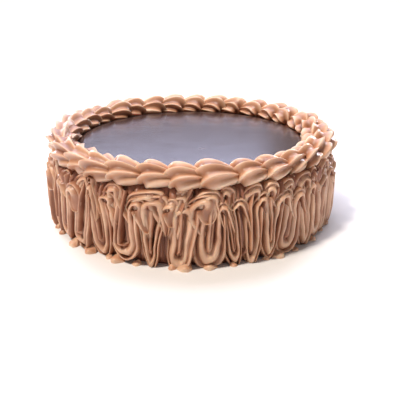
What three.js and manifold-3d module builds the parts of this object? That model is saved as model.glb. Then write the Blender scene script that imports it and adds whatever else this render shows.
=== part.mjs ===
// A round chocolate cake: a coated drum with a continuous zigzag of star-piped buttercream round its side,
// small dabs at its foot, a thin chocolate glaze on top and a border of overlapping piped shells.
// Millimetres, +Z up. The origin is the centre of the flat underside. Angles run counter-clockwise seen from
// above, starting at the front of the cake, which faces -Y.

import * as THREE from "three";
import { mergeVertices } from "three/addons/utils/BufferGeometryUtils.js";
import Module from "manifold-3d";

const wasm = await Module();
wasm.setup();

// The coated sponge behind the piping.
const DRUM_RADIUS = 117;
const DRUM_HEIGHT = 63;
const DRUM_BEVEL = 4; // top edge
const DRUM_SEGMENTS = 48;

// The glaze on top.
const GLAZE_RADIUS = 99;
const GLAZE_THICKNESS = 2.7;
const GLAZE_BEVEL = 1; // top edge, under the border
const GLAZE_SEGMENTS = 40;
const GAP = 0.3; // between pieces that lie on each other

// The zigzag round the side, one strand of up and down strokes.
const STROKE_COUNT = 80;
const STROKE_PITCH = (2 * Math.PI * DRUM_RADIUS) / STROKE_COUNT;
const STROKE_FOOT = 11.2; // height of the centres of the lower turns
const STROKE_TOP = 52.6; // height of the centres of the upper turns
const STRAND_BURIED = 1.5; // how far its back sinks into the coat
const STRAND_HALF_WIDTH = STROKE_PITCH / 2 - 0.1;
const RIDGE_PITCH = 3.5; // between its three ridges
const MIDDLE_RIDGE = 9.8; // how far its ridges and grooves stand out from the drum
const SIDE_RIDGE = 8.4;
const GROOVE = 5.2;
const TURN_STEPS = 2; // sections in each quarter of a turn

// The uneven hand along the zigzag: waves as [size, count round the cake, phase]. Sizes are millimetres, and
// shares for the depth. The widest strokes are left of the front and the narrowest right of it.
const SLIDE_WAVES = [
  [5.6, 3, Math.PI / 2],
  [1.5, 7, 1.1],
  [0.9, 17, 0.4],
];
const SWAY_WAVES = [
  [2.6, 9, 2.6],
  [1.2, 23, 0],
];
const FOOT_WAVES = [
  [0.9, 13, 0.7],
  [0.6, 31, 0],
];
const TOP_WAVES = [
  [0.7, 11, 2],
  [0.4, 29, 0],
];
const DEPTH_WAVES = [
  [0.05, 15, 0.9],
  [0.04, 37, 0],
];

// The dabs at the foot.
const DAB_COUNT = 36;
const DAB_RING_RADIUS = 124.2;
const DAB_LENGTH = 14;
const DAB_WIDTH = 10.5;
const DAB_HEIGHT = 4.4;
const DAB_SHOULDER = DAB_LENGTH / 5; // from its middle to each of its full sections
const DAB_TIP_SHARE = 0.9; // size of its second section
const DAB_STRAY = 0.25; // unevenness of its place, as a share of the distance to the next
const DAB_UNEVEN = 0.18; // and of its size

// The border of shells. Each has its nose at the lower angle and its tail under the next one's nose.
const SHELL_COUNT = 32;
const SHELL_RING_RADIUS = 112;
const SHELL_LEVEL = 66.5; // height of the widest section
const SHELL_HALF_LENGTH = 18;
const SHELL_HALF_WIDTH = 17.5;
const SHELL_RISE = 17.8;
const SHELL_LEAN = 0.22; // outward shift for each millimetre over the widest section
const SHELL_RIDGES = 5; // over the top, between the outer and the inner foot
const SHELL_FIRST_RIDGE = 18; // degrees up from straight outward
const SHELL_RIDGE_STEP = 34;
const SHELL_OUTER_FOOT = -12;
const SHELL_INNER_FOOT = 190;
const SHELL_GROOVE = 0.3; // as a share of the distance to the shell's middle
const SHELL_SHOULDER = 1.12; // width factor at the nose, which falls towards the tail
const SHELL_TAPER = 0.8;
const SHELL_TAPER_POWER = 1.2;
const SHELL_TAIL_DROP = 3;
const SHELL_TAIL_OUT = 2.5;
const SHELL_POLE_SHIFT = new THREE.Vector3(0.08, 0.12, -0.45); // draws the ends of the ridges out and down
const SHELL_RINGS = [0.24, 0.32, 0.4, 0.5]; // shares of the way from nose to tail
const NOSE_ROOM = 1.03; // growth of a nose where the tail before it is cut
const SHELL_STRAY = 0.06; // unevenness of its place, as a share of the distance to the next
const SHELL_UNEVEN = 0.05; // of its size
const SHELL_SHIFT = 1.2; // and of its distance from the middle, in millimetres
const SEAT_RADIUS = 140; // past everything
const SEAT_SEGMENTS = 12;

const CREAM_COLOUR = 0xc8906f;
const CREAM_ROUGHNESS = 0.55;
const GLAZE_COLOUR = 0x6e5a62;
const GLAZE_ROUGHNESS = 0.2;

const FULL_TURN = 2 * Math.PI;
const QUARTER_TURN = Math.PI / 2;
const MERGE_DISTANCE = 1e-4;

// Kinds of unevenness, each a row of repeatable numbers of its own.
const DAB_PLACE = 5;
const DAB_SIZE = 6;
const SHELL_PLACE = 7;
const SHELL_SIZE = 8;
const SHELL_OUT = 9;

// A repeatable uneven number between -1 and 1 for one piece and one kind of unevenness.
function uneven(index, kind) {
  const wave = Math.sin(index * 12.9898 + kind * 78.233) * 43758.5453;
  return 2 * (wave - Math.floor(wave)) - 1;
}

// The point at an angle round the cake, a distance from its axis and a height.
function roundPoint(angle, radius, height) {
  return new THREE.Vector3(radius * Math.sin(angle), -radius * Math.cos(angle), height);
}

function solidOf(geometry) {
  geometry.deleteAttribute("normal");
  geometry.deleteAttribute("uv");
  const merged = mergeVertices(geometry, MERGE_DISTANCE);
  const corners = [];
  for (let i = 0; i < merged.index.count; i += 3) {
    const [a, b, c] = merged.index.array.slice(i, i + 3);
    if (a !== b && b !== c && c !== a) corners.push(a, b, c);
  }
  const vertProperties = merged.attributes.position.array;
  return new wasm.Manifold(new wasm.Mesh({ numProp: 3, vertProperties, triVerts: new Uint32Array(corners) }));
}

function geometryOf(solid) {
  const mesh = solid.getMesh();
  return new THREE.BufferGeometry()
    .setAttribute("position", new THREE.BufferAttribute(mesh.vertProperties.slice(), 3))
    .setIndex(new THREE.BufferAttribute(mesh.triVerts.slice(), 1));
}

// The largest body of a solid, without the scraps that a cut may leave.
function largestBody(solid) {
  return solid.decompose().reduce((best, body) => (body.volume() > best.volume() ? body : best));
}

// A skin over rings of as many points each, which run counter-clockwise seen against the way of the rings.
// It closes on itself, or is drawn to one point at each end.
function loft(rings, start, end) {
  const size = rings[0].length;
  const points = rings.flat();
  const corners = [];
  const at = (ring, i) => (ring % rings.length) * size + (i % size);
  const closed = start === undefined;
  for (let ring = 0; ring < rings.length - (closed ? 0 : 1); ring += 1) {
    for (let i = 0; i < size; i += 1) {
      corners.push(at(ring, i), at(ring, i + 1), at(ring + 1, i));
      corners.push(at(ring, i + 1), at(ring + 1, i + 1), at(ring + 1, i));
    }
  }
  if (!closed) {
    const first = points.push(start) - 1;
    const last = points.push(end) - 1;
    for (let i = 0; i < size; i += 1) {
      corners.push(first, at(0, i + 1), at(0, i));
      corners.push(last, at(rings.length - 1, i), at(rings.length - 1, i + 1));
    }
  }
  return solidOf(new THREE.BufferGeometry().setFromPoints(points).setIndex(corners));
}

// A solid of revolution about Z from [radius, height] pairs from axis to axis, going up the outside.
function revolve(profile, segments) {
  const points = profile.map(([radius, height]) => new THREE.Vector2(radius, height));
  return solidOf(new THREE.LatheGeometry(points, segments).rotateX(Math.PI / 2));
}

function makeDrum() {
  const profile = [
    [0, 0],
    [DRUM_RADIUS, 0],
    [DRUM_RADIUS, DRUM_HEIGHT - DRUM_BEVEL],
    [DRUM_RADIUS - DRUM_BEVEL, DRUM_HEIGHT],
    [0, DRUM_HEIGHT],
  ];
  return revolve(profile, DRUM_SEGMENTS);
}

// A flat round slab from far below the cake up to a height.
function slab(radius, top, segments) {
  const profile = [
    [0, -radius],
    [radius, -radius],
    [radius, top],
    [0, top],
  ];
  return revolve(profile, segments);
}

// The strand's section as [sideways, outward] pairs.
const STRAND_SECTION = [
  [STRAND_HALF_WIDTH, -STRAND_BURIED],
  [RIDGE_PITCH, SIDE_RIDGE],
  [RIDGE_PITCH / 2, GROOVE],
  [0, MIDDLE_RIDGE],
  [-RIDGE_PITCH / 2, GROOVE],
  [-RIDGE_PITCH, SIDE_RIDGE],
  [-STRAND_HALF_WIDTH, -STRAND_BURIED],
];

function sumWaves(waves, turn) {
  return waves.reduce((sum, [size, count, phase]) => sum + size * Math.sin(count * turn + phase), 0);
}

// One section of the strand at a place along the drum and a height, heading a way given as [along, up].
function strandRing(along, height, heading) {
  return STRAND_SECTION.map(([side, out]) => {
    const flatAlong = along - side * heading[1];
    const flatHeight = height + side * heading[0];
    const turn = flatAlong / DRUM_RADIUS;
    const rise = (flatHeight - STROKE_FOOT) / (STROKE_TOP - STROKE_FOOT);
    const slid = flatAlong + sumWaves(SLIDE_WAVES, turn) + sumWaves(SWAY_WAVES, turn) * (rise - 0.5);
    const lifted = flatHeight + sumWaves(FOOT_WAVES, turn) * (1 - rise) + sumWaves(TOP_WAVES, turn) * rise;
    const thick = out > 0 ? 1 + sumWaves(DEPTH_WAVES, turn) : 1;
    return roundPoint(slid / DRUM_RADIUS, DRUM_RADIUS + out * thick, lifted);
  });
}

// Each stroke runs from the middle of one turn, straight up or down, to the middle of the next.
function makeStrand() {
  const radius = STROKE_PITCH / 2;
  const rings = [];
  for (let stroke = 0; stroke < STROKE_COUNT; stroke += 1) {
    const way = stroke % 2 === 0 ? -1 : 1;
    const [from, to] = way < 0 ? [STROKE_TOP, STROKE_FOOT] : [STROKE_FOOT, STROKE_TOP];
    const middle = stroke * STROKE_PITCH;
    for (let step = 0; step < TURN_STEPS; step += 1) {
      const angle = QUARTER_TURN * ((step + 0.5) / TURN_STEPS);
      const heading = [Math.cos(angle), way * Math.sin(angle)];
      const along = middle - radius + radius * Math.sin(angle);
      rings.push(strandRing(along, from - way * radius * heading[0], heading));
    }
    for (let step = TURN_STEPS - 1; step >= 0; step -= 1) {
      const angle = QUARTER_TURN * ((step + 0.5) / TURN_STEPS);
      const heading = [Math.cos(angle), way * Math.sin(angle)];
      const along = middle + radius - radius * Math.sin(angle);
      rings.push(strandRing(along, to + way * radius * heading[0], heading));
    }
  }
  return loft(rings);
}

// A small leaf of cream at the foot, pointed at both ends.
function makeDab(index) {
  const middle = (FULL_TURN * (index + DAB_STRAY * uneven(index, DAB_PLACE))) / DAB_COUNT;
  const size = 1 + DAB_UNEVEN * uneven(index, DAB_SIZE);
  const at = (along, out, height) =>
    roundPoint(middle + (along * size) / DAB_RING_RADIUS, DAB_RING_RADIUS + out * size, height * size);
  const ring = (along, share) => [
    at(along, (-DAB_WIDTH / 2) * share, 0),
    at(along, 0, DAB_HEIGHT * share),
    at(along, (DAB_WIDTH / 2) * share, 0),
  ];
  const rings = [ring(-DAB_SHOULDER, 1), ring(DAB_SHOULDER, DAB_TIP_SHARE)];
  return loft(rings, at(-DAB_LENGTH / 2, 0, 0), at(DAB_LENGTH / 2, 0, 0));
}

// A direction on the unit sphere, drawn towards the pole shift so that round lines stay round.
function shiftPoles(direction) {
  const shift = SHELL_POLE_SHIFT;
  const sum = direction.clone().add(shift);
  return sum.multiplyScalar((1 - shift.lengthSq()) / sum.lengthSq()).add(shift);
}

// The angle before the shift of poles of a line that lies at a given angle, both in degrees up from outward.
function beforeShift(angle) {
  const { y, z } = SHELL_POLE_SHIFT;
  const size = Math.hypot(y, z);
  const towards = THREE.MathUtils.radToDeg(Math.atan2(z, y));
  const turned = THREE.MathUtils.euclideanModulo(angle - towards + 180, 360) - 180;
  const tangent = Math.tan(THREE.MathUtils.degToRad(turned / 2));
  return towards + 2 * THREE.MathUtils.radToDeg(Math.atan((tangent * (1 + size)) / (1 - size)));
}

// A point of a shell's skin: along is 0 at the nose and 1 at the tail, round is the line's angle in degrees
// up from straight outward, and groove is how deep the skin lies there as a share.
function shellPoint(shell, along, round, groove) {
  const a = THREE.MathUtils.degToRad(beforeShift(round));
  const b = Math.PI * along;
  const direction = new THREE.Vector3(-Math.cos(b), Math.sin(b) * Math.cos(a), Math.sin(b) * Math.sin(a));
  const { x, y, z } = shiftPoles(direction);
  const way = (x + 1) / 2;
  const taper = shell.size * (SHELL_SHOULDER - SHELL_TAPER * way ** SHELL_TAPER_POWER);
  const depth = 1 - groove * Math.sqrt(Math.sin(b));
  const noseDepth = 1 - (1 - depth) * Math.max(0, -x);
  const rise = SHELL_RISE * taper * z * depth;
  const out = SHELL_HALF_WIDTH * taper * y * depth + SHELL_LEAN * rise + SHELL_TAIL_OUT * way ** 2;
  const angle = shell.angle + (shell.size * SHELL_HALF_LENGTH * x * noseDepth) / SHELL_RING_RADIUS;
  const height = SHELL_LEVEL + rise - SHELL_TAIL_DROP * way ** 2;
  return roundPoint(angle, SHELL_RING_RADIUS + shell.shift + out, height);
}

// The lines of a shell from nose to tail as [angle, groove] pairs, listed clockwise seen from its tail.
function shellLines(withGrooves) {
  const lines = [[SHELL_OUTER_FOOT, 0]];
  for (let ridge = 0; ridge < SHELL_RIDGES; ridge += 1) {
    const angle = SHELL_FIRST_RIDGE + SHELL_RIDGE_STEP * ridge;
    if (withGrooves && ridge > 0) lines.push([angle - SHELL_RIDGE_STEP / 2, SHELL_GROOVE]);
    lines.push([angle, 0]);
  }
  lines.push([SHELL_INNER_FOOT, 0]);
  lines.push([(SHELL_INNER_FOOT + SHELL_OUTER_FOOT + 360) / 2, 0]);
  return lines.reverse();
}

function makeShell(shell, withGrooves) {
  const lines = shellLines(withGrooves);
  const ring = (along) => lines.map(([angle, groove]) => shellPoint(shell, along, angle, groove));
  const rings = SHELL_RINGS.map(ring);
  return loft(rings, shellPoint(shell, 0, 0, 0), shellPoint(shell, 1, 0, 0));
}

function shellPlace(index) {
  return {
    angle: (FULL_TURN * (index + SHELL_STRAY * uneven(index, SHELL_PLACE))) / SHELL_COUNT,
    size: 1 + SHELL_UNEVEN * uneven(index, SHELL_SIZE),
    shift: SHELL_SHIFT * uneven(index, SHELL_OUT),
  };
}

const cream = new THREE.MeshStandardMaterial({ color: CREAM_COLOUR, roughness: CREAM_ROUGHNESS });
const glaze = new THREE.MeshStandardMaterial({ color: GLAZE_COLOUR, roughness: GLAZE_ROUGHNESS });
const cake = new THREE.Group();

function addPiece(name, solid, material) {
  const mesh = new THREE.Mesh(geometryOf(solid), material);
  mesh.name = name;
  cake.add(mesh);
}

// The drum with its piping and dabs, all of one body.
let coated = makeDrum().add(makeStrand());
for (let index = 0; index < DAB_COUNT; index += 1) {
  coated = coated.add(makeDab(index));
}
addPiece("cake", largestBody(coated), cream);

// The glaze, with a bevelled edge under the border.
const glazeFloor = DRUM_HEIGHT + GAP;
const glazeTop = glazeFloor + GLAZE_THICKNESS;
const glazeProfile = [
  [0, glazeFloor],
  [GLAZE_RADIUS, glazeFloor],
  [GLAZE_RADIUS, glazeTop - GLAZE_BEVEL],
  [GLAZE_RADIUS - GLAZE_BEVEL, glazeTop],
  [0, glazeTop],
];
addPiece("chocolate_top", revolve(glazeProfile, GLAZE_SEGMENTS), glaze);

// The shells lie on the rim and the glaze, and each one's tail gives way to the next one's nose.
const rim = slab(SEAT_RADIUS, glazeFloor, SEAT_SEGMENTS);
const seat = rim.add(slab(GLAZE_RADIUS + GAP, glazeTop + GAP, GLAZE_SEGMENTS));
const places = Array.from({ length: SHELL_COUNT }, (_, index) => shellPlace(index));
places.forEach((place, index) => {
  const next = places[(index + 1) % SHELL_COUNT];
  const nose = makeShell({ ...next, size: next.size * NOSE_ROOM }, false);
  const shell = makeShell(place, true).subtract(seat).subtract(nose);
  addPiece(`border_shell_${String(index + 1).padStart(2, "0")}`, largestBody(shell), cream);
});

export default cake;
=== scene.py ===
import math

import bpy
import numpy as np
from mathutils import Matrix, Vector


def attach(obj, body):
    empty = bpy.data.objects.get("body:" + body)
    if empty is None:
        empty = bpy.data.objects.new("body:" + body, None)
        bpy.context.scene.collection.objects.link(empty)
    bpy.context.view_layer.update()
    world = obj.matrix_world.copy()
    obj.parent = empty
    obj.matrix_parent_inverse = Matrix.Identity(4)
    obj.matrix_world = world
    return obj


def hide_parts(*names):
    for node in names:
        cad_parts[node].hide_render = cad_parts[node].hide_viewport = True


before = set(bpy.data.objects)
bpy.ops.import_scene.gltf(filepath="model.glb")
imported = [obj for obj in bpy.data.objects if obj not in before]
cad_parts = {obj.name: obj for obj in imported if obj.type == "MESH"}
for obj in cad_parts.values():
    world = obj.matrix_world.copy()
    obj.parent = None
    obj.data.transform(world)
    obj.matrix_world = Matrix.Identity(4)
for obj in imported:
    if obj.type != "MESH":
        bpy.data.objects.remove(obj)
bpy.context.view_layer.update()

# --------------------------------------------------------------------------------------------------
# The set: a plain pale table under one warm lamp from the upper left, a wide window overhead, one
# behind that the glaze mirrors, and two small ones at the back that brighten the crests. None of it
# belongs to the cake.
# --------------------------------------------------------------------------------------------------
MM_PER_METRE = 1000
CAMERA_PLACE = (0.0, -0.5128, 0.213)  # metres, as every place and distance of the set
CAMERA_DOWN = 22.05  # degrees that it looks down, and to the right
CAMERA_RIGHT = 0.89
CAMERA_LENS = 53.2
SENSOR = 36.0
TABLE_REACH = 40.0  # how far it runs on each side
TABLE_COLOUR = "#f0f1f3"
TABLE_ROUGHNESS = 0.8
GLOW = 0.28  # of the far table, so that it stays as white as the near one
GLOW_COLOUR = "#ffffff"
GLOW_NEAR = 1.0  # distances from the cake where the glow begins and where it is full
GLOW_FAR = 2.8
ROOM_COLOUR = "#f1eeee"
ROOM_STRENGTH = 0.22
KEY_WAY = (-0.50, -0.30, 1.16)  # towards the warm lamp
KEY_STRENGTH = 2.8
KEY_SPREAD = 9.0  # degrees
KEY_COLOUR = "#fff3e4"
WINDOWS = (  # place, size, watts and colour
    ((-0.10, 1.90, 1.02), (0.9, 0.5), 10.2, "#c8d0f2"),
    ((-0.10, 0.70, 1.75), (1.5, 0.8), 30.0, "#f4f1fc"),
    ((-0.95, 1.40, 0.62), (0.35, 0.35), 9.0, "#f2f1ff"),
    ((0.95, 1.40, 0.62), (0.35, 0.35), 12.0, "#f2f1ff"),
)


def linear(colour):
    """Linear red, green, blue and full alpha of an sRGB hex colour."""
    parts = [int(colour[i : i + 2], 16) / 255 for i in (1, 3, 5)]
    return (*[c / 12.92 if c <= 0.04045 else ((c + 0.055) / 1.055) ** 2.4 for c in parts], 1.0)


def node(material, kind, values=None, links=None, **settings):
    """A new shader node with values and links for its sockets, by name or number, and its settings."""
    made = material.node_tree.nodes.new(kind)
    for name, value in settings.items():
        setattr(made, name, value)
    for socket, value in (values or {}).items():
        made.inputs[socket].default_value = value
    for socket, source in (links or {}).items():
        material.node_tree.links.new(source, made.inputs[socket])
    return made


def new_material(name):
    """A material without nodes."""
    material = bpy.data.materials.new(name)
    material.use_nodes = True
    material.node_tree.nodes.clear()
    return material


def new_piece(name, points, faces, material, crest=None):
    """A smooth mesh object from points in millimetres, faces, and how near each point is to a crest."""
    mesh = bpy.data.meshes.new(name)
    mesh.from_pydata((np.asarray(points) / MM_PER_METRE).tolist(), [], faces)
    mesh.update()
    mesh.polygons.foreach_set("use_smooth", [True] * len(mesh.polygons))
    if crest is not None:
        layer = mesh.attributes.new("crest", "FLOAT", "POINT")
        layer.data.foreach_set("value", np.asarray(crest, dtype=np.float32).ravel())
    mesh.materials.append(material)
    piece = bpy.data.objects.new(name, mesh)
    bpy.context.collection.objects.link(piece)
    return piece


# Matt white paint: it scatters the light evenly, and shows no gloss beside the cake.
table_paint = new_material("table_matte_paint")
place = node(table_paint, "ShaderNodeNewGeometry").outputs["Position"]
away = node(table_paint, "ShaderNodeVectorMath", {}, {0: place}, operation="LENGTH")
glow = node(
    table_paint,
    "ShaderNodeMapRange",
    {"From Min": GLOW_NEAR, "From Max": GLOW_FAR, "To Min": 0.0, "To Max": GLOW},
    {"Value": away.outputs["Value"]},
)
shader = node(
    table_paint,
    "ShaderNodeBsdfPrincipled",
    {
        "Base Color": linear(TABLE_COLOUR),
        "Roughness": TABLE_ROUGHNESS,
        "Emission Color": linear(GLOW_COLOUR),
    },
    {"Emission Strength": glow.outputs[0]},
)
node(table_paint, "ShaderNodeOutputMaterial", {}, {"Surface": shader.outputs[0]})
table_half = TABLE_REACH * MM_PER_METRE
corners = [(x * table_half, y * table_half, 0) for x, y in ((-1, -1), (1, -1), (1, 1), (-1, 1))]
table = new_piece("table_top", corners, [(0, 1, 2, 3)], table_paint)

room = bpy.data.worlds.new("room")
bpy.context.scene.world = room
room.use_nodes = True
room.node_tree.nodes["Background"].inputs["Color"].default_value = linear(ROOM_COLOUR)
room.node_tree.nodes["Background"].inputs["Strength"].default_value = ROOM_STRENGTH

key_light = bpy.data.lights.new("key_lamp", "SUN")
key_light.energy = KEY_STRENGTH
key_light.angle = math.radians(KEY_SPREAD)
key_light.color = linear(KEY_COLOUR)[:3]
key_lamp = bpy.data.objects.new("key_lamp", key_light)
key_lamp.rotation_euler = Vector(KEY_WAY).to_track_quat("Z", "Y").to_euler()
bpy.context.collection.objects.link(key_lamp)

for index, (middle, size, watts, colour) in enumerate(WINDOWS):
    light = bpy.data.lights.new(f"window_{index + 1}", "AREA")
    light.shape = "RECTANGLE"
    light.size, light.size_y = size
    light.energy = watts
    light.color = linear(colour)[:3]
    window = bpy.data.objects.new(light.name, light)
    window.location = middle
    window.rotation_euler = (-Vector(middle)).to_track_quat("-Z", "Y").to_euler()
    bpy.context.collection.objects.link(window)

camera_data = bpy.data.cameras.new("photo_camera")
camera_data.lens = CAMERA_LENS
camera_data.sensor_width = SENSOR
camera = bpy.data.objects.new("photo_camera", camera_data)
camera.location = CAMERA_PLACE
camera.rotation_euler = (math.radians(90 - CAMERA_DOWN), 0, math.radians(-CAMERA_RIGHT))
bpy.context.collection.objects.link(camera)
bpy.context.scene.camera = camera
bpy.context.scene.view_settings.view_transform = "Standard"

# --------------------------------------------------------------------------------------------------
# The glaze: thin melted chocolate, poured warm on the flat top and smoothed once with a long knife,
# so that it lies almost level and runs in under the border.
# --------------------------------------------------------------------------------------------------
GLAZE_RADIUS = 98.6  # millimetres, as every length from here on
GLAZE_FLOOR = 63.35
GLAZE_TOP = 65.95
GLAZE_EDGE = ((0.0, 0.9), (0.35, 0.3), (1.1, 0.0))  # how far inside and below the top its edge runs
GLAZE_RINGS = 24
GLAZE_SEGMENTS = 160
NEAR_AXIS = 0.01  # radius that stands for the axis
GLAZE_DARK = "#3b2a26"
GLAZE_PALE = "#4b3a35"
GLAZE_ROUGHNESS = (0.17, 0.27)
COCOA_BUTTER_IOR = 1.5
STREAK_SIZE = (33.33, 10.53, 33.33)  # knife streaks, which run from side to side
STREAK_DETAIL = 3.0
STREAK_RELIEF = 0.6
BLOOM_GRAIN = 1.111  # specks of fat, drawn coarser than the real 0.1, which would not show
BLOOM_DETAIL = 4.0
BLOOM_RELIEF = 0.1
GLAZE_BUMP = 0.12
SCUFF_PLACE = (9.0, -34.0, 66.0)
SCUFF_SHAPE = (1.0, 2.2, 0.0)  # wider from side to side
SCUFF_FRAYED = 7.0  # how far the grain frays it
SCUFF_CORE = 3.6  # how far out it is full and where it ends, with the fraying
SCUFF_EDGE = 7.8
SCUFF_DULLING = 0.12  # how much rougher it is, and how much of its pale colour shows
SCUFF_COLOUR = "#8d8480"
FIRST_COLOUR = 6  # colour sockets of a Mix node, which share their names with its other sockets
SECOND_COLOUR = 7
MIXED_COLOUR = 2
TURN = 2 * math.pi


def round_points(angle, radius, height):
    """Points from an angle counter-clockwise from the front, a distance from the axis and a height."""
    return np.stack([radius * np.sin(angle), -radius * np.cos(angle), height + 0 * angle], -1)


def grid_faces(rows, columns, closed=True):
    """Quads over a grid of points that is listed row by row, with its rows closed to rings or open."""
    row = np.arange(rows - 1)
    column = np.arange(columns if closed else columns - 1)
    i, j = [part.ravel() for part in np.meshgrid(row, column, indexing="ij")]
    here, over = i * columns, (i + 1) * columns
    j2 = (j + 1) % columns
    return np.stack([here + j, here + j2, over + j2, over + j], -1).tolist()


def turned(profile, steps):
    """Points and faces of a body turned about the upright axis from radius and height, foot first."""
    radius, height = np.array(profile, float).T[:, :, None]
    angle = np.broadcast_to(np.arange(steps) * TURN / steps, (len(profile), steps))
    points = round_points(angle, radius, height).reshape(-1, 3)
    return points, grid_faces(len(profile), steps)


# Poured chocolate: dark and close to a mirror, with faint knife streaks, a breath of bloom, and one
# dull scuff where something touched it.
chocolate = new_material("chocolate_glaze_poured")
place = node(chocolate, "ShaderNodeNewGeometry").outputs["Position"]
streak_scale = tuple(MM_PER_METRE / size for size in STREAK_SIZE)
stretched = node(chocolate, "ShaderNodeMapping", {"Scale": streak_scale}, {"Vector": place}).outputs[0]
streak_values = {"Scale": 1.0, "Detail": STREAK_DETAIL}
streak = node(chocolate, "ShaderNodeTexNoise", streak_values, {"Vector": stretched}).outputs[0]
bloom_values = {"Scale": MM_PER_METRE / BLOOM_GRAIN, "Detail": BLOOM_DETAIL}
bloom = node(chocolate, "ShaderNodeTexNoise", bloom_values, {"Vector": place}).outputs[0]
tint_values = {FIRST_COLOUR: linear(GLAZE_DARK), SECOND_COLOUR: linear(GLAZE_PALE)}
tint = node(chocolate, "ShaderNodeMix", tint_values, {"Factor": streak}, data_type="RGBA")
rough_values = {"To Min": GLAZE_ROUGHNESS[0], "To Max": GLAZE_ROUGHNESS[1]}
rough = node(chocolate, "ShaderNodeMapRange", rough_values, {"Value": streak})
scuff_place = tuple(part / MM_PER_METRE for part in SCUFF_PLACE)
away = node(
    chocolate,
    "ShaderNodeVectorMath",
    {1: scuff_place},
    {0: place},
    operation="SUBTRACT",
)
shaped = node(
    chocolate,
    "ShaderNodeVectorMath",
    {1: SCUFF_SHAPE},
    {0: away.outputs[0]},
    operation="MULTIPLY",
)
distance = node(chocolate, "ShaderNodeVectorMath", {}, {0: shaped.outputs[0]}, operation="LENGTH")
frayed = node(
    chocolate,
    "ShaderNodeMath",
    {1: SCUFF_FRAYED / MM_PER_METRE},
    {0: bloom, 2: distance.outputs["Value"]},
    operation="MULTIPLY_ADD",
)
scuff = node(
    chocolate,
    "ShaderNodeMapRange",
    {
        "From Min": SCUFF_CORE / MM_PER_METRE,
        "From Max": SCUFF_EDGE / MM_PER_METRE,
        "To Min": SCUFF_DULLING,
        "To Max": 0.0,
    },
    {"Value": frayed.outputs[0]},
)
dulled = node(
    chocolate,
    "ShaderNodeMath",
    {},
    {0: rough.outputs[0], 1: scuff.outputs[0]},
    operation="ADD",
)
paler = node(
    chocolate,
    "ShaderNodeMix",
    {SECOND_COLOUR: linear(SCUFF_COLOUR)},
    {"Factor": scuff.outputs[0], FIRST_COLOUR: tint.outputs[MIXED_COLOUR]},
    data_type="RGBA",
)
streaked = node(
    chocolate,
    "ShaderNodeBump",
    {"Strength": GLAZE_BUMP, "Distance": STREAK_RELIEF / MM_PER_METRE},
    {"Height": streak},
)
bloomed = node(
    chocolate,
    "ShaderNodeBump",
    {"Strength": GLAZE_BUMP, "Distance": BLOOM_RELIEF / MM_PER_METRE},
    {"Height": bloom, "Normal": streaked.outputs[0]},
)
shader = node(
    chocolate,
    "ShaderNodeBsdfPrincipled",
    {"IOR": COCOA_BUTTER_IOR},
    {
        "Base Color": paler.outputs[MIXED_COLOUR],
        "Roughness": dulled.outputs[0],
        "Normal": bloomed.outputs[0],
    },
)
node(chocolate, "ShaderNodeOutputMaterial", {}, {"Surface": shader.outputs[0]})

glaze_profile = [(NEAR_AXIS, GLAZE_FLOOR), (GLAZE_RADIUS, GLAZE_FLOOR)]
glaze_profile += [(GLAZE_RADIUS - inside, GLAZE_TOP - below) for inside, below in GLAZE_EDGE]
glaze_profile += [(GLAZE_RADIUS * (1 - ring / GLAZE_RINGS), GLAZE_TOP) for ring in range(1, GLAZE_RINGS)]
glaze_profile += [(NEAR_AXIS, GLAZE_TOP)]
points, faces = turned(glaze_profile, GLAZE_SEGMENTS)
glaze = new_piece("glaze_disc", points, faces, chocolate)
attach(glaze, "root")
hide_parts("chocolate_top")

# --------------------------------------------------------------------------------------------------
# The coat: one layer of light chocolate buttercream over the sponge, spread with a knife. It shows
# only in the gaps between the piped strokes, where it is left streaked, and under the border.
# --------------------------------------------------------------------------------------------------
COAT_RADIUS = 117.0
COAT_TOP = 63.0
COAT_SIDE = 61.0  # height of its upright side
COAT_EDGE = ((2.2, 0.3), (4.0, 0.0))  # how far inside and below the top its round edge runs
COAT_INSIDE = 95.0
COAT_RINGS = 30
COAT_SEGMENTS = 1200

# The knife streaks, as low upright ridges. Each wave has its count round the cake, its size, and the
# height over which it turns by one radian.
STREAKS = 71
STREAK_BEND = (9, 1.3, 14.0)
STREAK_RIPPLE = (23, 0.9, -9.0)
STREAK_FADE = (17, 0.25, 11.0)
STREAK_FOOT = 1.2  # how far out the valleys between them lie
STREAK_DEPTH = 4.2
DEEPER_TOP = 3.2  # how much deeper they are under the border, and from what height
DEEPER_TOP_FROM = 44.0
DEEPER_FOOT = 1.6  # and at the foot
DEEPER_FOOT_FROM = 22.0
DEEPER_CHANGE = 8.0  # over how much height they deepen
STREAK_TOP = 62.0  # height where they end, and over how much height
STREAK_TOP_FADE = 4.0
STREAK_LOW = 1.0
STREAK_LOW_FADE = 9.0
STREAK_HIGHLIGHT_HEIGHT = 8.0  # height of a streak that gets the full painted highlight of a crest; lower parts get painted shade

CREAM_IOR = 1.46
CREAM_ROUGHNESS = (0.36, 0.56)
CREAM_CLOUD = (18.18, 4.0)  # size and detail of soft patches of paler cream
CREAM_DIMPLE = (3.846, 3.0)
CREAM_DIMPLE_RELIEF = 0.6
CREAM_DIMPLE_BUMP = 0.5
CREAM_PIT = (0.7143, 5.0)  # air pits, drawn coarser than the real 0.2, which would not show
CREAM_PIT_RELIEF = 0.2
CREAM_PIT_BUMP = 0.3
CREAM_FILM = 0.4  # how much of the surface the film of fat covers
CREAM_FILM_ROUGHNESS = 0.3
CREAM_SCATTER = 2.5  # how far light runs inside it, and the share of that for red, green and blue
CREAM_SCATTER_SHARES = (1.0, 0.45, 0.25)
CREAM_SCATTERED = 0.25  # how much of the light does
CREST_LIGHT_SHARE = 0.8  # how much the painted light counts beside the clouds: highlight on the crests, shade in the grooves
CREAM_RANGE = (0.3, 1.45)  # of both together, from the deepest to the lightest colour


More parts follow.
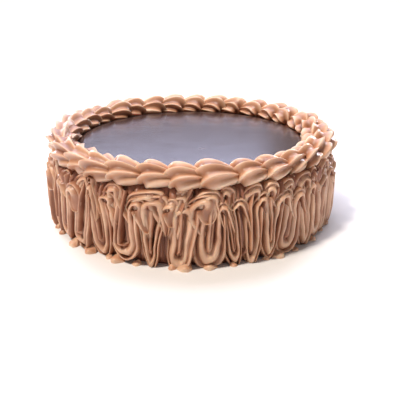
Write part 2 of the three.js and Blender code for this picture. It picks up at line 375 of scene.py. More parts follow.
def buttercream(name, deep, middle, light):
    """Whipped buttercream: light enters the soft fat a little way, so its shadows are warm and mild.

    Its skin is satin with a thin film of fat that gives pale highlights; a painted highlight makes it
    paler on the crests and painted shade darker in the grooves.
    """
    material = new_material(name)
    place = node(material, "ShaderNodeNewGeometry").outputs["Position"]
    crest = node(material, "ShaderNodeAttribute", attribute_name="crest")
    noises = []
    for size, detail in (CREAM_CLOUD, CREAM_PIT, CREAM_DIMPLE):
        noise_values = {"Scale": MM_PER_METRE / size, "Detail": detail}
        noises.append(node(material, "ShaderNodeTexNoise", noise_values, {"Vector": place}).outputs[0])
    cloud, pit, dimple = noises
    # Painted light: the crest attribute turns crests paler as a painted highlight and grooves darker as
    # painted shade.
    share_links = {0: crest.outputs["Fac"], 2: cloud}
    share = node(material, "ShaderNodeMath", {1: CREST_LIGHT_SHARE}, share_links, operation="MULTIPLY_ADD")
    spread_values = {"From Min": CREAM_RANGE[0], "From Max": CREAM_RANGE[1]}
    spread = node(material, "ShaderNodeMapRange", spread_values, {"Value": share.outputs[0]})
    tint = node(material, "ShaderNodeValToRGB", {}, {"Fac": spread.outputs[0]})
    ramp = tint.color_ramp.elements
    ramp[0].color = linear(deep)
    ramp[1].color = linear(light)
    ramp.new(0.5).color = linear(middle)
    rough_values = {"To Min": CREAM_ROUGHNESS[0], "To Max": CREAM_ROUGHNESS[1]}
    rough = node(material, "ShaderNodeMapRange", rough_values, {"Value": pit})
    dimpled = node(
        material,
        "ShaderNodeBump",
        {"Strength": CREAM_DIMPLE_BUMP, "Distance": CREAM_DIMPLE_RELIEF / MM_PER_METRE},
        {"Height": dimple},
    )
    pitted = node(
        material,
        "ShaderNodeBump",
        {"Strength": CREAM_PIT_BUMP, "Distance": CREAM_PIT_RELIEF / MM_PER_METRE},
        {"Height": pit, "Normal": dimpled.outputs[0]},
    )
    shader = node(
        material,
        "ShaderNodeBsdfPrincipled",
        {
            "IOR": CREAM_IOR,
            "Subsurface Weight": CREAM_SCATTERED,
            "Subsurface Radius": CREAM_SCATTER_SHARES,
            "Subsurface Scale": CREAM_SCATTER / MM_PER_METRE,
            "Coat Weight": CREAM_FILM,
            "Coat Roughness": CREAM_FILM_ROUGHNESS,
        },
        {"Base Color": tint.outputs[0], "Roughness": rough.outputs[0], "Normal": pitted.outputs[0]},
    )
    node(material, "ShaderNodeOutputMaterial", {}, {"Surface": shader.outputs[0]})
    return material


def turning_wave(wave, angle, level):
    """A sine wave round the cake, given as its count, its size and its height for one radian."""
    count, size, rise = wave
    return size * np.sin(count * angle + level / rise)


# Spread with a knife and seen between the strokes: the same cream as the piped one, in a darker copy
# that paints in the shade there.
shaded_spread_cream = buttercream("buttercream_spread_painted_shade", "#6f3f2c", "#95604a", "#b07c60")
coat_profile = [(NEAR_AXIS, 0.0), (COAT_RADIUS, 0.0)]
coat_profile += [(COAT_RADIUS, COAT_SIDE * ring / COAT_RINGS) for ring in range(1, COAT_RINGS + 1)]
coat_profile += [(COAT_RADIUS - inside, COAT_TOP - below) for inside, below in COAT_EDGE]
coat_profile += [(COAT_INSIDE, COAT_TOP), (NEAR_AXIS, COAT_TOP)]
points, faces = turned(coat_profile, COAT_SEGMENTS)
angle = np.arctan2(points[:, 0], -points[:, 1])
level = points[:, 2]
on_side = np.hypot(points[:, 0], points[:, 1]) > COAT_RADIUS - NEAR_AXIS
bend = turning_wave(STREAK_BEND, angle, level)
ripple = turning_wave(STREAK_RIPPLE, angle, level)
streaks = np.abs(np.sin(STREAKS * angle + bend + ripple))
deeper_top = DEEPER_TOP * np.clip((level - DEEPER_TOP_FROM) / DEEPER_CHANGE, 0, 1)
deeper_foot = DEEPER_FOOT * np.clip((DEEPER_FOOT_FROM - level) / DEEPER_CHANGE, 0, 1)
depth = STREAK_DEPTH + deeper_top + deeper_foot
fade = 1 - STREAK_FADE[1] + turning_wave(STREAK_FADE, angle, level)
relief = np.where(on_side, STREAK_FOOT + depth * streaks**0.8 * fade, 0.0)
top_fade = np.clip((STREAK_TOP - level) / STREAK_TOP_FADE, 0, 1)
relief *= top_fade * np.clip((level - STREAK_LOW) / STREAK_LOW_FADE, 0, 1)
points[:, :2] *= (1 + relief / COAT_RADIUS)[:, None]
# Its relief also sets the painted light: streak ridges paler as painted highlight, valleys darker as
# painted shade.
coat = new_piece("coat_under_the_piping", points, faces, shaded_spread_cream, relief / STREAK_HIGHLIGHT_HEIGHT)
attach(coat, "root")
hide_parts("cake")

# --------------------------------------------------------------------------------------------------
# The zigzag: buttercream pressed through a star tip down and up the side, in one strand with three
# ribs. The lower turns close to a V. Each upper turn folds over to the right and hangs in front of
# the next stroke, and a second tier of arches stands behind them under the border.
# --------------------------------------------------------------------------------------------------
FOLDS = 40
FIRST_FOLD = 0.25  # its place, in folds to the right of the front
PITCH = TURN * COAT_RADIUS / FOLDS / 2  # between two strokes
TURN_RADIUS = PITCH / 2
FOOT = 17.5  # height where the lower turns begin
TOP = 45.5  # and the upper turns
START = 58.0  # height where a stroke comes out from under the last fold
LOWEST = 0.4
HIGHEST = 64.0  # inside the border
FURTHEST = 11.9  # from the coat
BURIED = -1.5  # how far out the edges of the strand lie, which is inside the coat

# The middle line, in rows: a stroke down, the lower turn, a stroke up, the upper turn and the
# hanging end.
STROKE_STEPS = 18
TURN_STEPS = 18
HANG_STEPS = 12
UPPER_ROW = 2 * STROKE_STEPS + TURN_STEPS
HANG_ROW = UPPER_ROW + TURN_STEPS
LOWER_MIDDLE = UPPER_ROW / 2
RISING_MIDDLE = UPPER_ROW - STROKE_STEPS / 2
CROWN = 1.1  # height of the upper turn as a share of a round one
CROWN_SKEW = 0.08
OVER_EARLY = 4  # rows before the upper turn where the strand begins to fold over
HANG = 5.5  # length of the hanging end, and how much more in ribs, in a flap and where it is wild
HANG_RIBBED = 9.0
HANG_FLAP = 2.5
HANG_WILD = 3.0
HANG_SLANT = 0.3  # how far it runs on to the right, as a share of its length

# The section across the strand, in millimetres from its middle and out from the coat.
OVERLAP = 0.8
HALF_WIDTH = PITCH / 2 + OVERLAP
SECTION_COLUMNS = 50
MIDDLE_RIB = (-0.1, 2.8, 2.0, 10.0)  # place, half width, foot and crest
OUTER_RIB = (-3.95, 1.85, 1.6, 9.1)  # it runs outside in the lower turns
INNER_RIB = (3.85, 1.8, 1.4, 8.8)
GROOVE_FLOOR = 1.2
MIDDLE_WIDENS = 0.08  # share of its width that the middle rib gains on a swell, and its added height
MIDDLE_RISES = 0.25
SIDE_WIDENS = 0.05  # share that the outer rib gains and the inner one loses there
SIDE_SINKS = 0.2  # how much lower both are
HIGHLIGHT_FROM = 5.2  # height where the painted highlight on the crests begins, and over how much height it fades in; the grooves below get painted shade
HIGHLIGHT_FADE = 4.4

# The hollow inside an upper turn.
HOLLOW_SIDE = -2.6  # place in the section where it begins
HOLLOW_DEPTH = 3.0
HOLLOW_RIB_DROP = 4.0  # how much lower the rib is that runs in it
HOLLOW_EARLY = 2  # rows before the upper turn where it begins, and rows until it is full
HOLLOW_ROWS = 7
OVER_RIB_RISE = 0.6  # how much higher the rib on its other side is

# The smooth band where a passing edge smeared the ribs.
BAND_OUT = 8.6
BAND_REACH = 3.6  # to each side of the strand's middle
BAND_RETREAT = 4.2  # how much narrower the hollow makes it
SMEAR = 0.13  # how far the grooves are filled up to it, as a share, and what adds to that:
SMEAR_WILD = 0.12  # the unsteady hand
SMEAR_LIFTED = 0.04  # each millimetre that a fold is raised
SMEAR_OVER = 0.45  # the upper turn
SMEAR_WAVE = 0.3  # and a wave, which turns by one radian over some rows
SMEAR_WAVE_ROWS = 6.0
SMEAR_MOST = 0.85

# The cupped flap that some hanging ends open into.
FLAP_OUT = 7.3  # height of its middle, and how much higher its rim is
FLAP_RIM = 3.0
RIBBED_BELOW = -0.1  # a fold with a draw below this hangs further down and keeps its ribs
CUP = 0.4  # how far a fold with a draw of 0 is cupped, and how much that gains with the draw
CUP_GAIN = 2.0
CUP_EARLY = 6  # rows before the hanging end where the cup begins, and rows until it is full
CUP_ROWS = 9
CUP_SPREAD = 0.3  # how much wider than the strand it is, and how much further in it may reach
CUP_REACH = 3.0

# The bends of a fold, of which the widths are shares of an even fold's.
FOOT_STRETCH = 2.2  # how much taller than round the lower turns are, inside and outside
OUTER_STRETCH = 1.35
OUTER_FROM = 6.0  # how far below their beginning the outside begins
TOP_STRETCH = 1.15  # how much taller the upper turns are
CLOSING = 0.13  # how much the two strokes close in towards the foot
CLOSING_FROM = 18.0  # how far above it that begins, and over how much height
CLOSING_HEIGHT = 24.0
PINCH = 0.32  # how much more the lower turn closes, and how far down it does so in full
PINCH_HEIGHT = 12.0
ARCH_WIDTH = 0.86
ARCH_LEAN = 0.25  # to the right, for each millimetre above its beginning
FOLD_WIDTH = 1.08
TOP_DROP = 1.0  # how much lower the top and the foot lie
FOOT_DROP = 1.2
STROKE_SWAY = 0.35  # how far a swell sways a stroke sideways

# How wide the strand is and how far it stands out.
NARROW_OVER = 0.1  # how much narrower it is in the upper turn, and on a swell
NARROW_SWELL = 0.02
LEAST_END = 0.0004  # what its very end keeps, so that no face is lost
TURN_GAP = 0.15  # from its inner edge to the middle of a turn
THICKNESS = 0.93  # as a share of the section's
PRESSED_IN = 0.4
PROUD_OVER = 1.4  # how far the upper turn stands out
LEAN = 0.5  # how much further one edge stands out than the middle
LEAN_OVER = 3.4  # and how much further the inner edge of an upper turn does
LEAN_SWELL = 0.3
SHINGLE = 2.4  # how much each stroke's right side stands out over the next one
LOWER_SET_BACK = 1.4  # of the lower turns, and how far down it is full
SET_BACK_HEIGHT = 10.0
LIFT_SET_BACK = 0.28  # for each millimetre that a fold is raised
LOWER_ROWS = 20  # rows to each side of a lower turn's middle where its own stray fades out
START_DEPTH = 4.5  # how much deeper a strand lies where it starts
START_SHARE = 0.6  # of a stroke, until it is fully out
EDGE_LIFT = 6.5  # how much further out the edges of an upper turn lie, and after which of its rows
EDGE_LATE = 6

# The uneven hand. It was least steady left of the front, where the folds stray most.
WILD = 1.5  # how much more they do
WILD_PLACE = -0.5  # radians from the front
SHORT_SWELL_ROWS = 4.1  # two swells run along the strand, each turning by one radian over some rows
SHORT_SWELL = 0.5  # size of the short one beside the long one
LONG_SWELL_ROWS = 7.3

# Waves round the cake, as size, count and phase: sideways at all heights and more with height, at
# the foot, at the top, in thickness and in the place of the middle rib.
SLIDE = ((5.6, 3, math.pi / 2), (1.5, 7, 1.1), (0.9, 17, 0.4))
SWAY = ((2.6, 9, 2.6), (1.2, 23, 0.0))
LOW = ((0.9, 13, 0.7), (0.6, 31, 0.0))
HIGH = ((0.7, 11, 2.0), (0.4, 29, 0.0))
THICK = ((0.05, 15, 0.9), (0.04, 37, 0.0))
WANDER = ((0.22, 61, 0.3), (0.2, 97, 1.7), (0.16, 143, 0.9))
WANDER_RISE = 300.0  # height over which the middle rib's waves turn by one radian

# How far one fold strays from the next, each as the seed of its draw and its largest size.
HANG_STRAY = (1, 3.5)
SHORT_SWELL_STRAY = (30, 9.0)  # in radians, as for the next one and the smear's
LONG_SWELL_STRAY = (31, 9.0)
MIDDLE_PLACE_STRAY = (32, 0.5)
OUTER_CREST_STRAY = (33, 0.5)
INNER_CREST_STRAY = (34, 0.6)
STRAND_WIDTH_STRAY = (35, 0.06)
ARCH_WIDTH_STRAY = (36, 0.16)
FOLD_WIDTH_STRAY = (37, 0.2)
ARCH_LEAN_STRAY = (38, 0.25)
FOLD_PLACE_STRAY = (39, 0.8)
FOOT_STRETCH_STRAY = (40, 0.12)
TOP_STRETCH_STRAY = (41, 0.2)
TOP_HEIGHT_STRAY = (42, 2.2)
FOOT_HEIGHT_STRAY = (43, 1.4)
TOP_PLACE_STRAY = (44, 1.6)
LOWER_OUT_STRAY = (45, 0.9)
LEAN_OVER_STRAY = (46, 0.8)
MIDDLE_WIDTH_STRAY = (47, 0.14)
SMEAR_STRAY = (48, 9.0)
SHINGLE_STRAY = (49, 1.5)
OUT_STRAY = (50, 1.3)
EXTRA_FOLD_SEED = 60
FLAP_SEED = 61
PINCH_STRAY = (62, 0.2)
SET_BACK_STRAY = (63, 0.8)
CLOSING_STRAY = (65, 0.15)


def wave_sum(waves, turn):
    """The sum of sine waves given as size, count round the cake and phase."""
    return sum(size * np.sin(count * turn + phase) for size, count, phase in waves)


def uneven(index, seed):
    """A repeatable uneven number between -1 and 1 for one piece and one kind of unevenness."""
    wave = np.sin(index * 12.9898 + seed * 78.233) * 43758.5453
    return 2 * (wave - np.floor(wave)) - 1


def stray(index, kind):
    """How far one piece strays in one way, given as the seed of its draw and its largest size."""
    seed, size = kind
    return size * uneven(index, seed)


def ease(share):
    """A smooth passage from 0 to 1."""
    share = np.clip(share, 0, 1)
    return share * share * (3 - 2 * share)


def rib(side, size, shift, wider, higher):
    """How far out a rib with a rounded crest reaches over the section."""
    middle, half, foot, top = size
    reach = np.clip(np.abs(side - middle - shift) / (half * wider), 0, 1)
    return foot + (top + higher - foot) * (1 - reach**2.2) ** 0.8


def fold_rows(hang):
    """Middle line of a fold with a hanging end of some length: along, height, and its heading."""
    rows = []
    for step in range(STROKE_STEPS):
        rows.append((-TURN_RADIUS, START + (FOOT - START) * step / STROKE_STEPS, 0.0, -1.0))
    for step in range(TURN_STEPS):
        angle = math.pi * step / TURN_STEPS
        ahead, up = math.sin(angle), -math.cos(angle)
        rows.append((-TURN_RADIUS * math.cos(angle), FOOT - TURN_RADIUS * math.sin(angle), ahead, up))
    for step in range(STROKE_STEPS):
        rows.append((TURN_RADIUS, FOOT + (TOP - FOOT) * step / STROKE_STEPS, 0.0, 1.0))
    for step in range(TURN_STEPS):
        angle = math.pi * step / TURN_STEPS
        ahead, up = math.sin(angle), math.cos(angle)
        crown = TURN_RADIUS * math.sin(angle) * (CROWN - CROWN_SKEW * math.cos(angle))
        rows.append((2 * TURN_RADIUS - TURN_RADIUS * math.cos(angle), TOP + crown, ahead, up))
    for step in range(HANG_STEPS):
        share = math.sin(math.pi / 2 * step / (HANG_STEPS - 1))
        rows.append((3 * TURN_RADIUS + HANG_SLANT * hang * share, TOP - hang * share, 0.0, -1.0))
    return np.array(rows)[:, :, None].transpose(1, 0, 2)


def fold_section(fold, side, rows, wander, swell, over, cupped, smear):
    """How far out the skin is across the strand: three ribs, smeared, hollowed or cupped."""
    hollow = ease((rows - UPPER_ROW + HOLLOW_EARLY) / HOLLOW_ROWS)
    wider = 1 + stray(fold, MIDDLE_WIDTH_STRAY) + MIDDLE_WIDENS * swell
    shift = wander + stray(fold, MIDDLE_PLACE_STRAY)
    middle_rib = rib(side, MIDDLE_RIB, shift, wider, MIDDLE_RISES * swell)
    outer_more = stray(fold, OUTER_CREST_STRAY) - SIDE_SINKS * swell - HOLLOW_RIB_DROP * hollow
    outer_rib = rib(side, OUTER_RIB, 0.0, 1 + SIDE_WIDENS * swell, outer_more)
    inner_more = stray(fold, INNER_CREST_STRAY) - SIDE_SINKS * swell + OVER_RIB_RISE * over
    inner_rib = rib(side, INNER_RIB, 0.0, 1 - SIDE_WIDENS * swell, inner_more)
    out = np.maximum(np.maximum(middle_rib, outer_rib), np.maximum(inner_rib, GROOVE_FLOOR))
    band = BAND_OUT * np.sqrt(np.clip(1 - (side / HALF_WIDTH) ** 4, 0, 1))
    smeared = (side < BAND_REACH) & (side > hollow * BAND_RETREAT - BAND_REACH)
    out = np.where(smeared, out + (np.maximum(out, band) - out) * smear, out)
    out = np.where(side < HOLLOW_SIDE, out - HOLLOW_DEPTH * hollow, out)
    out = out + (FLAP_OUT + FLAP_RIM * (side / HALF_WIDTH) ** 2 - out) * cupped
    out[:, [0, -1]] = BURIED
    return out


def fold_bend(fold, x, z, rows, over, swell, wild, lift, ahead):
    """Where points of the even fold lie along the coat and above the table once it is bent."""
    below = np.maximum(FOOT - z, 0)
    above = np.maximum(z - TOP, 0)
    fall = FOOT_STRETCH * below - (FOOT_STRETCH - OUTER_STRETCH) * np.maximum(below - OUTER_FROM, 0)
    low = np.clip((FOOT + CLOSING_FROM - z) / CLOSING_HEIGHT, 0, 1)
    closing = (CLOSING + stray(fold, CLOSING_STRAY)) * low * (1 - over)
    x = x * (1 - closing) * (1 - (PINCH + stray(fold, PINCH_STRAY)) * ease(below / PINCH_HEIGHT))
    arch = ARCH_WIDTH + stray(fold, ARCH_WIDTH_STRAY)
    x = np.where(rows >= UPPER_ROW, TURN_RADIUS + (x - TURN_RADIUS) * arch, x)
    lean = above * (ARCH_LEAN + stray(fold, ARCH_LEAN_STRAY))
    x = x * (FOLD_WIDTH + stray(fold, FOLD_WIDTH_STRAY)) + lean
    x = x + stray(fold, FOLD_PLACE_STRAY)
    z = z - fall * (1 + stray(fold, FOOT_STRETCH_STRAY)) + below
    z = z + above * (TOP_STRETCH - 1 + stray(fold, TOP_STRETCH_STRAY))
    rise = ease((z - FOOT) / (TOP - FOOT))
    z = z + rise * (wild * stray(fold, TOP_HEIGHT_STRAY) - TOP_DROP + lift)
    z = z + (1 - rise) * (stray(fold, FOOT_HEIGHT_STRAY) - FOOT_DROP)
    sway = STROKE_SWAY * wild * swell * (1 - np.abs(ahead))
    x = x + rise * wild * stray(fold, TOP_PLACE_STRAY) + sway
    return x, z, below


def fold_points(fold, first=0, lift=0.0):
    """Points of a fold's skin from some row on, raised by the lift, and how near each is to a crest."""
    turn = 2 * (fold + FIRST_FOLD) * PITCH / COAT_RADIUS
    wild = 1 + WILD * max(0.0, math.cos(turn - WILD_PLACE)) ** 4
    flap = uneven(fold, FLAP_SEED)
    hang = HANG + stray(fold, HANG_STRAY) + HANG_WILD * (wild - 1)
    hang += HANG_RIBBED if flap < RIBBED_BELOW else HANG_FLAP
    along, height, ahead, up = fold_rows(hang)
    rows = np.arange(len(along))[:, None]
    over = ease((rows - UPPER_ROW + OVER_EARLY) / TURN_STEPS)
    short = np.sin(rows / SHORT_SWELL_ROWS + stray(fold, SHORT_SWELL_STRAY))
    swell = short * SHORT_SWELL + np.sin(rows / LONG_SWELL_ROWS + stray(fold, LONG_SWELL_STRAY))
    wander = wave_sum(WANDER, turn + along / COAT_RADIUS + height / WANDER_RISE)
    cup = min(1.0, max(0.0, CUP + CUP_GAIN * flap))
    cupped = ease((rows - HANG_ROW + CUP_EARLY) / CUP_ROWS) * cup
    smear_wave = SMEAR_WAVE * np.sin(rows / SMEAR_WAVE_ROWS + stray(fold, SMEAR_STRAY))
    smear = SMEAR + SMEAR_WILD * wild + SMEAR_LIFTED * lift + SMEAR_OVER * over + smear_wave
    smear = np.clip(smear, 0, SMEAR_MOST)
    side = np.linspace(-HALF_WIDTH, HALF_WIDTH, SECTION_COLUMNS)[None, :]
    out = fold_section(fold, side, rows, wander, swell, over, cupped, smear)
    # Painted light: paler near the crests as painted highlight, darker in the grooves as painted shade.
    crest = np.clip((out - HIGHLIGHT_FROM) / HIGHLIGHT_FADE, 0, 1) ** 1.5

    narrow = 1 - NARROW_OVER * over - NARROW_SWELL * swell
    narrow = (1 + stray(fold, STRAND_WIDTH_STRAY)) * narrow
    end = np.clip((rows - HANG_ROW) / (HANG_STEPS - 1), 0, 1)
    pointed = np.clip(1 - end**1.5, LEAST_END, 1) ** 0.85
    side = side * narrow * (1 + CUP_SPREAD * cupped) * pointed
    inner = np.where(rows < RISING_MIDDLE, 1.0, -1.0)
    limit = TURN_RADIUS - TURN_GAP + (OVERLAP + TURN_GAP) * (1 - np.abs(ahead)) ** 2 + CUP_REACH * cupped
    side = np.where(side * inner > limit, limit * inner, side)
    even_x, even_z = along - side * up, height + side * ahead
    x, z, below = fold_bend(fold, even_x, even_z, rows, over, swell, wild, lift, ahead)
    turn = turn + x / COAT_RADIUS
    share = (z - FOOT) / (TOP - FOOT)
    slid = turn * COAT_RADIUS + wave_sum(SLIDE, turn) + wave_sum(SWAY, turn) * (share - 0.5)
    lifted = z + wave_sum(LOW, turn) * (1 - share) + wave_sum(HIGH, turn) * share

    start = 1 - ease((rows + 1 - first) / (START_SHARE * STROKE_STEPS))
    near_foot = ease(1 - np.abs(rows - LOWER_MIDDLE) / LOWER_ROWS)
    proud = PROUD_OVER * over - START_DEPTH * start - LIFT_SET_BACK * lift
    proud = proud + stray(fold, LOWER_OUT_STRAY) * near_foot
    lean = LEAN - (LEAN_OVER + stray(fold, LEAN_OVER_STRAY)) * over + LEAN_SWELL * swell
    shingle = (SHINGLE + stray(fold, SHINGLE_STRAY)) * (1 - over) * -up
    set_back = (LOWER_SET_BACK + stray(fold, SET_BACK_STRAY)) * ease(below / SET_BACK_HEIGHT)
    depth = out * (THICKNESS + wave_sum(THICK, turn)) - set_back + proud
    depth = depth + (lean + shingle) * side / HALF_WIDTH + stray(fold, OUT_STRAY) - PRESSED_IN
    edge = out + EDGE_LIFT * over * (rows > UPPER_ROW + EDGE_LATE)
    depth = np.where(out > 0, np.clip(depth, BURIED, FURTHEST), edge)
    points = round_points(slid / COAT_RADIUS, COAT_RADIUS + depth, np.clip(lifted, LOWEST, HIGHEST))
    return points[first:], crest[first:]


# Piped through the star tip: drawn smooth, so the ribs catch the light in long satin lines, with a
# painted highlight on their crests and painted shade in the grooves.
piped_cream = buttercream("buttercream_piped", "#6f3c29", "#ae785a", "#e8bf9f")
QUARTERS = 4
UPPER_HALF = STROKE_STEPS + TURN_STEPS  # first row of a fold that shows only its stroke up and arch
EXTRA_ABOVE = 0.2  # a fold with a draw above this has one more arch to its right
EXTRA_PLACE = 0.5  # how far right, in folds
TIER_PLACE = 0.4  # how far right the second tier stands, in folds, and how much higher
TIER_LIFT = 8.5
for quarter in range(QUARTERS):
    folds = range(quarter * FOLDS // QUARTERS, (quarter + 1) * FOLDS // QUARTERS)
    extra = [fold for fold in folds if uneven(fold, EXTRA_FOLD_SEED) > EXTRA_ABOVE]
    skins = [fold_points(fold) for fold in folds]
    skins += [fold_points(fold + EXTRA_PLACE, UPPER_HALF) for fold in extra]
    skins += [fold_points(fold + TIER_PLACE, UPPER_HALF, TIER_LIFT) for fold in folds]
    faces = []
    count = 0
    for skin, crest in skins:
        rows, columns = skin.shape[:2]
        faces += (np.array(grid_faces(rows, columns, closed=False)) + count).tolist()
        count += rows * columns
    points = np.concatenate([skin.reshape(-1, 3) for skin, crest in skins])
    crests = np.concatenate([crest.ravel() for skin, crest in skins])
    piece = new_piece(f"zigzag_quarter_{quarter + 1}", points, faces, piped_cream, crests)
    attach(piece, "root")

# --------------------------------------------------------------------------------------------------
# The dabs: small drops of buttercream that the tip pressed out under the foot of the zigzag, pointed
# where it was pulled away.
# --------------------------------------------------------------------------------------------------
DABS = 42
DAB_RING = 123.8
DAB_FURTHEST = 129.3  # from the axis
DAB_LENGTH = 9.5
DAB_WIDTH = 8.2
DAB_HEIGHT = 4.6
DAB_HEAVY_END = 0.4  # how much thicker one end is than the middle
DAB_GROOVE = 0.3  # share of the height
DAB_RIDGES = 1.5  # half waves of the ridges from one side to the other
DAB_GROOVE_LIGHT = 0.5  # painted light in its grooves, as a share of the painted highlight that its ridges get in full
DAB_ROWS = 21
DAB_COLUMNS = 17
DAB_PLACE_STRAY = (5, 0.35)
DAB_SIZE_STRAY = (6, 0.35)
DAB_GROOVE_STRAY = (12, 0.8)
DAB_HEAVY_END_SEED = 13
DAB_SLANT_STRAY = (14, 1.6)
DAB_RING_STRAY = (15, 1.5)

# Piped like the zigzag and the same cream, in a paler copy that paints in the fuller light on the border
# and lightens the dabs, which lie in shadow under the foot. Piped like the zigzag, and matched to the
# paler cream that the dabs and the border show.
lit_border_cream = buttercream("buttercream_border_painted_light", "#834d36", "#cb9674", "#f4d4b8")
dab_points, dab_faces, dab_painted_light = [], [], []
for index in range(DABS):
    middle = TURN * (index + stray(index, DAB_PLACE_STRAY)) / DABS
    size = 1 + stray(index, DAB_SIZE_STRAY)
    way = np.linspace(-1, 1, DAB_ROWS)[:, None]
    across = np.linspace(0, math.pi, DAB_COLUMNS)[None, :]
    heavy = 1 - DAB_HEAVY_END * way * np.sign(uneven(index, DAB_HEAVY_END_SEED))
    full = (1 - np.abs(way) ** 1.7) ** 0.8 * heavy
    ridge = 1 - DAB_GROOVE * np.abs(np.sin(DAB_RIDGES * across + stray(index, DAB_GROOVE_STRAY)))
    out = DAB_WIDTH / 2 * full * np.cos(across) + stray(index, DAB_SLANT_STRAY) * way
    tall = DAB_HEIGHT * full**0.8 * np.sin(across) ** 0.8 * ridge
    angle = middle + size * DAB_LENGTH / 2 * way / DAB_RING + 0 * across
    radius = np.minimum(DAB_RING + stray(index, DAB_RING_STRAY) + size * out, DAB_FURTHEST)
    dab_face = np.array(grid_faces(DAB_ROWS, DAB_COLUMNS, closed=False))
    dab_faces += (dab_face + len(dab_points) * DAB_ROWS * DAB_COLUMNS).tolist()
    dab_points.append(round_points(angle, radius, size * tall).reshape(-1, 3))
    # Painted light: ridges paler as painted highlight, grooves darker as painted shade.
    dab_light = DAB_GROOVE_LIGHT + (ridge - (1 - DAB_GROOVE)) / (2 * DAB_GROOVE)
    dab_painted_light.append(np.broadcast_to(dab_light, tall.shape).ravel())
dab_points = np.concatenate(dab_points)
dabs = new_piece("foot_dabs", dab_points, dab_faces, lit_border_cream, np.concatenate(dab_painted_light))
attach(dabs, "root")

# --------------------------------------------------------------------------------------------------
# The border: shells of the same buttercream, pressed out through the star tip one after another
# round the rim. Each swells at its nose, where the ridges curl round, and is drawn out to a tail
# that the next nose covers.
# --------------------------------------------------------------------------------------------------
SHELLS = 32
SHELL_RING = 112.0
SHELL_LEVEL = 70.0  # height of the widest part
HALF_LENGTH = 19.0
HALF_BREADTH = 17.5
RISE = 13.4
INNER_SAG = 7.5  # how far the underside lies below the widest part, inside and outside
OUTER_SAG = 14.0
OUTWARD = 0.22  # lean, for each millimetre of height
TAIL_DROP = 4.0
TAIL_OUT = 0.8
SHOULDER = 1.12  # width factor at the nose, which falls towards the tail
TAPER = 0.80
SHELL_RIDGES = 6
FIRST_RIDGE = -14.0  # degrees up from straight outward
RIDGE_STEP = 39.0
GROOVE = 0.29  # share of the distance to the shell's middle
SOFT_EDGE = 0.45  # how much shallower the grooves begin at the first ridge, low on the outside
SOFT_EDGE_FADE = 2.0  # how fast that ends over the next ridges
BELLY = 0.35  # hollow of the underside, as a share of a groove
POLE_TILT = math.radians(29)  # rise of the line from the ridges' front ends to their back ends
POLE = np.array((0.21, -0.05, -0.38))  # shift that then draws these ends back and down
SHELL_ROWS = 44
LINES_PER_BAND = 12
SHELL_PLACE_STRAY = (7, 0.1)
SHELL_SIZE_STRAY = (8, 0.085)
SHELL_SHIFT_STRAY = (9, 1.6)
SHELL_ROLL_STRAY = (10, 15.0)
SHELL_GROOVE_STRAY = (11, 0.05)


def before_shift(angle):
    """The angle, before the poles are shifted, of a line at some degrees up from outward after it."""
    size = math.hypot(POLE[1], POLE[2])
    towards = math.degrees(math.atan2(POLE[2], POLE[1]))
    half = np.radians((angle - towards + 180) % 360 - 180) / 2
    return towards + 2 * np.degrees(np.arctan(np.tan(half) * (1 + size) / (1 - size)))


def shell_points(shell, share, line, groove):
    """Points of a shell's skin from the share from nose to tail, a line's angle and its depth."""
    a, b = np.radians(line), math.pi * share
    cos, sin = math.cos(POLE_TILT), math.sin(POLE_TILT)
    up = np.sin(b) * np.sin(a)
    way = np.stack([-np.cos(b) * cos - up * sin, np.sin(b) * np.cos(a), up * cos - np.cos(b) * sin], -1)
    way = way + POLE
    way = way * ((1 - POLE @ POLE) / np.sum(way * way, -1, keepdims=True)) + POLE
    x, y, z = way[..., 0], way[..., 1], way[..., 2]
    back = (x + 1) / 2
    taper = shell["size"] * (SHOULDER - TAPER * back**1.2)
    depth = 1 - groove * np.abs(np.sin(b)) ** 0.8
    nose = 1 - (1 - depth) * np.maximum(0, -x)
    sag = INNER_SAG + (OUTER_SAG - INNER_SAG) * np.clip(y + 0.5, 0, 1)
    rise = np.where(z > 0, RISE, sag) * taper * z * depth
    out = HALF_BREADTH * taper * y * depth + OUTWARD * rise + TAIL_OUT * back**2
    angle = shell["angle"] + shell["size"] * HALF_LENGTH * x * nose / SHELL_RING
    height = SHELL_LEVEL + rise - TAIL_DROP * back**2
    return round_points(angle, SHELL_RING + shell["shift"] + out, height)


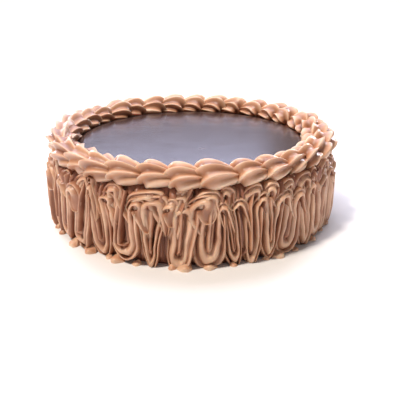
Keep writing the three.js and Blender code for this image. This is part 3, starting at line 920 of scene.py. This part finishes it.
def shell_end(shell, share):
    """The one point of a shell's skin at its nose or tail."""
    return shell_points(shell, np.array([share]), np.array([0.0]), np.array([0.0]))


for index in range(SHELLS):
    shell = {
        "angle": TURN * (index + stray(index, SHELL_PLACE_STRAY)) / SHELLS,
        "size": 1 + stray(index, SHELL_SIZE_STRAY),
        "shift": stray(index, SHELL_SHIFT_STRAY),
    }
    first = FIRST_RIDGE + stray(index, SHELL_ROLL_STRAY)
    last = first + RIDGE_STEP * (SHELL_RIDGES - 1)
    above = np.linspace(first, last, LINES_PER_BAND * (SHELL_RIDGES - 1), endpoint=False)
    under = np.linspace(last, first + 360, 2 * LINES_PER_BAND, endpoint=False)
    band = np.abs(np.sin(math.pi * (above - first) / RIDGE_STEP)) ** 0.9
    band *= 1 - SOFT_EDGE * np.exp(-(((above - first) / RIDGE_STEP) ** 2) * SOFT_EDGE_FADE)
    belly = BELLY * np.sin(math.pi * (under - last) / (first + 360 - last))
    lines = before_shift(np.concatenate([above, under]))
    hollow = np.concatenate([band, belly])
    share = np.linspace(0, 1, SHELL_ROWS)[1:-1]
    share, lines = np.meshgrid(share, lines, indexing="ij")
    groove = (GROOVE + stray(index, SHELL_GROOVE_STRAY)) * hollow + 0 * share
    skin = shell_points(shell, share, lines, groove)
    rows, columns = skin.shape[:2]
    points = np.concatenate([skin.reshape(-1, 3), shell_end(shell, 0.0), shell_end(shell, 1.0)])
    faces = [face[::-1] for face in grid_faces(rows, columns)]
    nose, tail, last_row = rows * columns, rows * columns + 1, (rows - 1) * columns
    faces += [(nose, here, (here + 1) % columns) for here in range(columns)]
    faces += [(tail, last_row + (here + 1) % columns, last_row + here) for here in range(columns)]
    # Painted light: ridges paler as painted highlight, grooves and the hollow underside darker as
    # painted shade.
    crest = np.concatenate([np.broadcast_to(1 - hollow, share.shape).ravel(), [1.0, 1.0]])
    piece = new_piece(f"shell_{index + 1:02d}", points, faces, lit_border_cream, crest)
    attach(piece, "root")
    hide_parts(f"border_shell_{index + 1:02d}")
